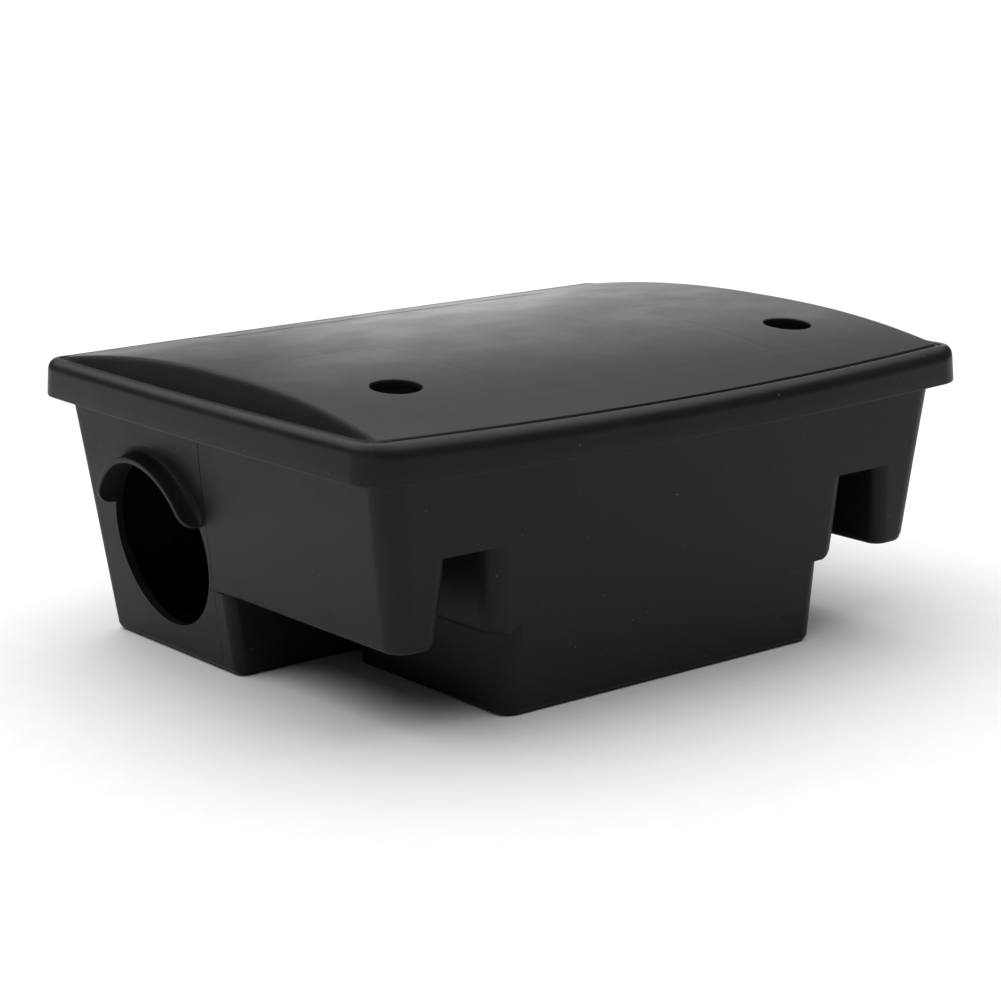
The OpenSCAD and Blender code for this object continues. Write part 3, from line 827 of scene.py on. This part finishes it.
def dome_height(x, y):
    """Height of the dome: an arch across the lid, cut by leaning ends."""
    end = LID_X - LID_BOW_SHORT * (y / BOW_Y) ** 2 - CREASE - 0.5 - abs(x)
    side = LID_Y - LID_BOW_LONG * (x / BOW_X) ** 2 - CREASE - 0.5 - abs(y)
    ends = CREASE_Z + 2.3 * max(end, 0)
    sides = CREASE_Z - SAG * max(0.0, 1 - (x / BOW_X) ** 2) + 3.0 * max(side, 0)
    return soft_min(soft_min(arch(x, y), ends, 2.4), sides, 0.5)


def build_lid():
    m = Moulding()
    # (inset, height) on the short and on the long sides, from the skirt's lower edge over the shoulder to the crease
    profile = [(at, at) for at in ((0.6, SKIRT_Z), (0.2, SKIRT_Z + 0.15), (0.0, SKIRT_Z + 0.6), (0.3, 82.0))]
    for degrees in range(0, 91, 10):
        c, s = math.cos(math.radians(degrees)), math.sin(math.radians(degrees))
        profile.append(((0.7 + 3.5 * (1 - c), 86.0 + 3.5 * s), (0.5 + 4.7 * (1 - c), 84.6 + 4.9 * s)))
    profile += [(at, at) for at in (
                (CREASE - 0.95, 89.45), (CREASE - 0.7, 89.38), (CREASE - 0.5, 89.2), (CREASE - 0.32, 88.95),
                (CREASE - 0.05, 88.8), (CREASE + 0.2, 88.86), (CREASE + 0.38, 89.0), (CREASE + 0.5, CREASE_Z))]
    rings = [rim_ring(m, short, long) for short, long in profile]
    m.tube(rings)
    low = rings[-1]
    crease = [m.points[i][:2] for i in low]
    # shares of the way to the middle: close together over the leaning ends, wider apart on the crown
    steps = [0.0026 * k for k in range(1, 24)] + [0.066 + 0.014 * k for k in range(8)]
    steps += [0.19 + 0.05 * k for k in range(16)]
    for s in steps:
        high = m.level([(x * (1 - s), y * (1 - s)) for x, y in crease], dome_height)
        m.band(low, high)
        low = high
    m.cap(low, up=True)
    # underside
    inner = [m.level(lid_line(inset), z) for inset, z in ((2.3, SKIRT_Z), (2.6, SKIRT_Z + 0.3), (2.95, 84.4),
                                                          (3.8, 86.0), (5.0, 86.2), (9.4, 86.2),
                                                          (UNDER_EDGE, 86.5))]
    m.band(inner[0], rings[0])
    for a, b in zip(inner, inner[1:]):
        m.band(b, a)
    edge, low = lid_line(UNDER_EDGE), inner[-1]
    for s in [0.004, 0.012, 0.03, 0.07, 0.12] + [0.19 + 0.1 * k for k in range(8)]:
        high = m.level([(x * (1 - s), y * (1 - s)) for x, y in edge], lambda x, y: dome_height(x, y) - WALL)
        m.band(high, low)
        low = high
    m.cap(low, up=False)
    lid = m.object("lid")
    for side in SIDES:
        hole = Moulding()
        stack = [(-9, LOCK_R), (-0.7, LOCK_R), (-0.4, LOCK_R + 0.05), (-0.2, LOCK_R + 0.15), (-0.06, LOCK_R + 0.33),
                 (0.02, LOCK_R + 0.55), (0.6, LOCK_R + 1.6)]
        hole.solid([hole.level(circle(side * LOCK_X, LOCK_Y, r), lambda x, y, dz=dz: arch(x, y) + dz)
                    for dz, r in stack])
        cut(lid, hole.object("lock hole cutter"))
        for start in (side * HINGE_X - 12.3, side * HINGE_X + KNUCKLE_W / 2):
            room = Moulding()
            room.lathe("X", (HINGE_Y, HINGE_Z), [(start, 4.2), (start + LUG_W + 0.6, 4.2)], 48)
            cut(lid, room.object("lug cutter"))
    return lid


def lock_sleeve(side):
    """Tube under a lock hole, with the floor that carries the spindle and two nibs that stop the cam."""
    m = Moulding()
    low, roof = LOCK_FLOOR - 2.5, arch(LOCK_X, LOCK_Y)
    m.lathe("Z", (side * LOCK_X, LOCK_Y),
            [(low, 9.45), (low + 0.25, 9.7), (88, 9.75), (roof - WALL + 0.6, 9.9), (roof - 1.4, LOCK_R),
             (LOCK_FLOOR, LOCK_R), (LOCK_FLOOR, 4.75), (LOCK_FLOOR - 0.2, 4.56), (low + 0.2, 4.56), (low, 4.75)],
            72, closed=True)
    for x, y in ((-5.3, 8.1), (8.1, -5.3)):
        at, to = side * (LOCK_X + x), LOCK_Y + y
        m.bar("Z", low - 3, low + 1, rectangle(at - 1.1, to - 1.1, at + 1.1, to + 1.1), edge=0.25)
    head = box_mm("lock_spindle_right")[1][2]
    for k in range(8):
        turn = math.radians(22.5 + 45 * k)
        m.lathe("Z", (side * LOCK_X + (LOCK_R + 0.32) * math.cos(turn), LOCK_Y + (LOCK_R + 0.32) * math.sin(turn)),
                [(head + 0.3, 0.3), (head + 0.6, 0.5), (roof - 2.2, 0.5), (roof - 1.6, 0.3)], 12)
    return m.object("sleeve")


def lid_knuckles():
    m = Moulding()
    for side in SIDES:
        start = side * HINGE_X - KNUCKLE_W / 2
        hinge_barrel(m, start, KNUCKLE_W, 1.56)
        m.bar("X", start, start + KNUCKLE_W, [(HINGE_Y - 0.6, HINGE_Z + 2.4), (HINGE_Y + 2.2, HINGE_Z + 2.0),
                                              (HINGE_Y + 2.6, HINGE_Z + 6), (HINGE_Y - 0.6, HINGE_Z + 6)], edge=0.3)
    return m.object("knuckles")


def blank_panel():
    """A plain raised panel near the back edge of the lid."""
    m = Moulding()
    left, right, front, back = -62, 70, 62, 82
    corners = [(left, front, 3, 24), (right, front, 3, 6), (right, back, 3, 24), (left, back, 3, 6)]
    rings = [m.level(outline(corners, inset)[0], lambda x, y, up=up: arch(x, y) + up)
             for inset, up in ((0, -0.6), (0, 0.02), (0.3, 0.08), (0.8, 0.14), (1.4, 0.16))]
    flat, cx, cy = outline(corners, 1.4)[0], (left + right) / 2, (front + back) / 2
    for s in (0.1, 0.25, 0.4, 0.6, 0.8):
        smaller = [(cx + (x - cx) * (1 - s), cy + (y - cy) * (1 - s)) for x, y in flat]
        rings.append(m.level(smaller, lambda x, y: arch(x, y) + 0.16))
    m.solid(rings)
    return m.object("blank panel")


def lid_ribs():
    """Stiffening ribs under the dome that fence off the lock bays."""
    lines = [((-RIB_HALF, RIB_FRONT), (RIB_HALF, RIB_FRONT))]
    for side in SIDES:
        corner, outer = (side * BAY_IN, RIB_BACK), (side * BAY_OUT, RIB_BACK)
        lines += [((side * BAY_IN, RIB_FRONT), corner), (corner, outer), (outer, (side * BAY_OUT, 40)),
                  ((side * 30, 20), (side * 30, 74))]
    return ribs("lid ribs", lines, lid_plastic, rib_thickness=1.6 * MM, rib_height=2.4 * MM,
                middle_height=(CROWN_Z - WALL - 0.9) * MM, arch_curvature=1 / 1.06, point_spacing=4 * MM)


lid = build_lid()
join(lid, lock_sleeve(-1), lock_sleeve(1), lid_knuckles(), blank_panel(), lid_ribs())
hand_over(lid, "lid_shell", "lid_plastic", "lid", lid_plastic)


# ------------------------------------------------------------------ inside parts and locks
def eased_copy(node, edge):
    """A copy of a CAD part with its sharp edges eased as moulding or tumbling leaves them."""
    work = bmesh.new()
    work.from_mesh(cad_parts[node].data)
    bmesh.ops.remove_doubles(work, verts=work.verts, dist=1e-6)
    bmesh.ops.dissolve_limit(work, angle_limit=math.radians(1), verts=work.verts, edges=work.edges)
    sharp = [e for e in work.edges if e.is_manifold and e.calc_face_angle() > math.radians(35)]
    bmesh.ops.bevel(work, geom=sharp, offset=edge * MM, segments=2, profile=0.6, affect="EDGES", clamp_overlap=True)
    mesh = bpy.data.meshes.new(node)
    work.to_mesh(mesh)
    work.free()
    return link(node, mesh)


for node, edge, slot, body, material in (
        ("hinge_pin_left", 0.3, "pin_steel", "base", pin_steel),
        ("hinge_pin_right", 0.3, "pin_steel", "base", pin_steel),
        ("lock_spindle_left", 0.3, "spindle_nylon", "lock_left", spindle_nylon),
        ("lock_spindle_right", 0.3, "spindle_nylon", "lock_right", spindle_nylon),
        ("lock_washer_left", 0.12, "washer_steel", "lid", spring_steel),
        ("lock_washer_right", 0.12, "washer_steel", "lid", spring_steel),
        ("lock_cam_left", 0.3, "cam_steel", "lock_left", cam_steel),
        ("lock_cam_right", 0.3, "cam_steel", "lock_right", cam_steel),
        ("lock_clip_left", 0.15, "clip_steel", "lock_left", spring_steel),
        ("lock_clip_right", 0.15, "clip_steel", "lock_right", spring_steel),
        ("bait_tray", 0.35, "tray_plastic", "tray", tray_plastic),
        ("tray_divider", 0.4, "insert_plastic", "divider", insert_plastic),
        ("bait_rod_1", 0.2, "rod_steel", "rod_1", rod_steel),
        ("bait_rod_2", 0.2, "rod_steel", "rod_2", rod_steel),
        ("bait_rod_3", 0.2, "rod_steel", "rod_3", rod_steel),
        ("bait_rod_4", 0.2, "rod_steel", "rod_4", rod_steel),
        ("baffle_left", 0.4, "insert_plastic", "baffle_left", insert_plastic),
        ("baffle_right", 0.4, "insert_plastic", "baffle_right", insert_plastic)):
    hand_over(eased_copy(node, edge), node, slot, body, material)


# ------------------------------------------------------------------ floor, light, camera
def stage():
    material, tree, shader = nodes_of("studio floor")
    coords = tree.nodes.new("ShaderNodeTexCoord").outputs["Object"]
    paper = noise(tree, coords, 90, 4, 0.6)
    tree.links.new(ramp(tree, paper, [(0.3, 0.86), (0.7, 0.88)]), shader.inputs["Base Color"])
    shader.inputs["Roughness"].default_value = 0.9
    shader.inputs["Specular IOR Level"].default_value = 0.1
    mesh = bpy.data.meshes.new("floor")
    half = 8.0
    mesh.from_pydata([(-half, -half, 0), (half, -half, 0), (half, half, 0), (-half, half, 0)], [], [(0, 1, 2, 3)])
    mesh.materials.append(material)
    link("floor", mesh)


def softbox(name, place, target, size, size_y, power):
    data = bpy.data.lights.new(name, "AREA")
    data.shape, data.size, data.size_y, data.energy = "RECTANGLE", size, size_y, power
    light = bpy.data.objects.new(name, data)
    light.location = place
    light.rotation_mode = "QUATERNION"
    light.rotation_quaternion = (Vector(target) - Vector(place)).to_track_quat("-Z", "Y")
    bpy.context.scene.collection.objects.link(light)


def studio():
    world = bpy.data.worlds.new("studio")
    world.use_nodes = True
    background = world.node_tree.nodes["Background"]
    background.inputs["Color"].default_value = (1, 1, 1, 1)
    # the backdrop looks white, but lights the set only a little
    seen = world.node_tree.nodes.new("ShaderNodeLightPath").outputs["Is Camera Ray"]
    strength = world.node_tree.nodes.new("ShaderNodeMapRange")
    strength.inputs["To Min"].default_value, strength.inputs["To Max"].default_value = 0.1, 1.0
    world.node_tree.links.new(seen, strength.inputs["Value"])
    world.node_tree.links.new(strength.outputs[0], background.inputs["Strength"])
    bpy.context.scene.world = world
    bpy.context.scene.view_settings.view_transform = "Standard"
    data = bpy.data.lights.new("ceiling glow", "SUN")
    data.energy, data.angle = 3.7, math.radians(100)
    ceiling = bpy.data.objects.new("ceiling glow", data)
    ceiling.rotation_euler = (math.radians(-12), 0, 0)
    bpy.context.scene.collection.objects.link(ceiling)
    softbox("back softbox", (1.7, 1.55, 0.42), (0, 0, 0.08), 1.3, 0.62, 4.4)
    softbox("low strip", (0.95, 2.0, 0.2), (0, 0, 0.1), 1.1, 0.18, 1.8)


def camera():
    """Looks down on the front left corner from about 0.85 m, as a short telephoto would."""
    around, down, roll = math.radians(-37.93), math.radians(13.48), math.radians(-0.89)
    data = bpy.data.cameras.new("camera")
    data.lens, data.sensor_width = 95.48, 36
    data.clip_start, data.clip_end = 0.01, 50
    back = Vector((math.sin(around) * math.cos(down), -math.cos(around) * math.cos(down), math.sin(down)))
    right = Vector((math.cos(around), math.sin(around), 0))
    up = back.cross(right)
    aim, distance, shift = Vector((0, 0, 0.045)), 0.85066, (-0.00052, -0.00407)
    place = aim + back * distance
    right, up = right * math.cos(roll) + up * math.sin(roll), up * math.cos(roll) - right * math.sin(roll)
    place += right * shift[0] + up * shift[1]
    made = bpy.data.objects.new("camera", data)
    made.matrix_world = Matrix.Translation(place) @ Matrix((right, up, back)).transposed().to_4x4()
    bpy.context.scene.collection.objects.link(made)
    bpy.context.scene.camera = made


stage()
studio()
camera()
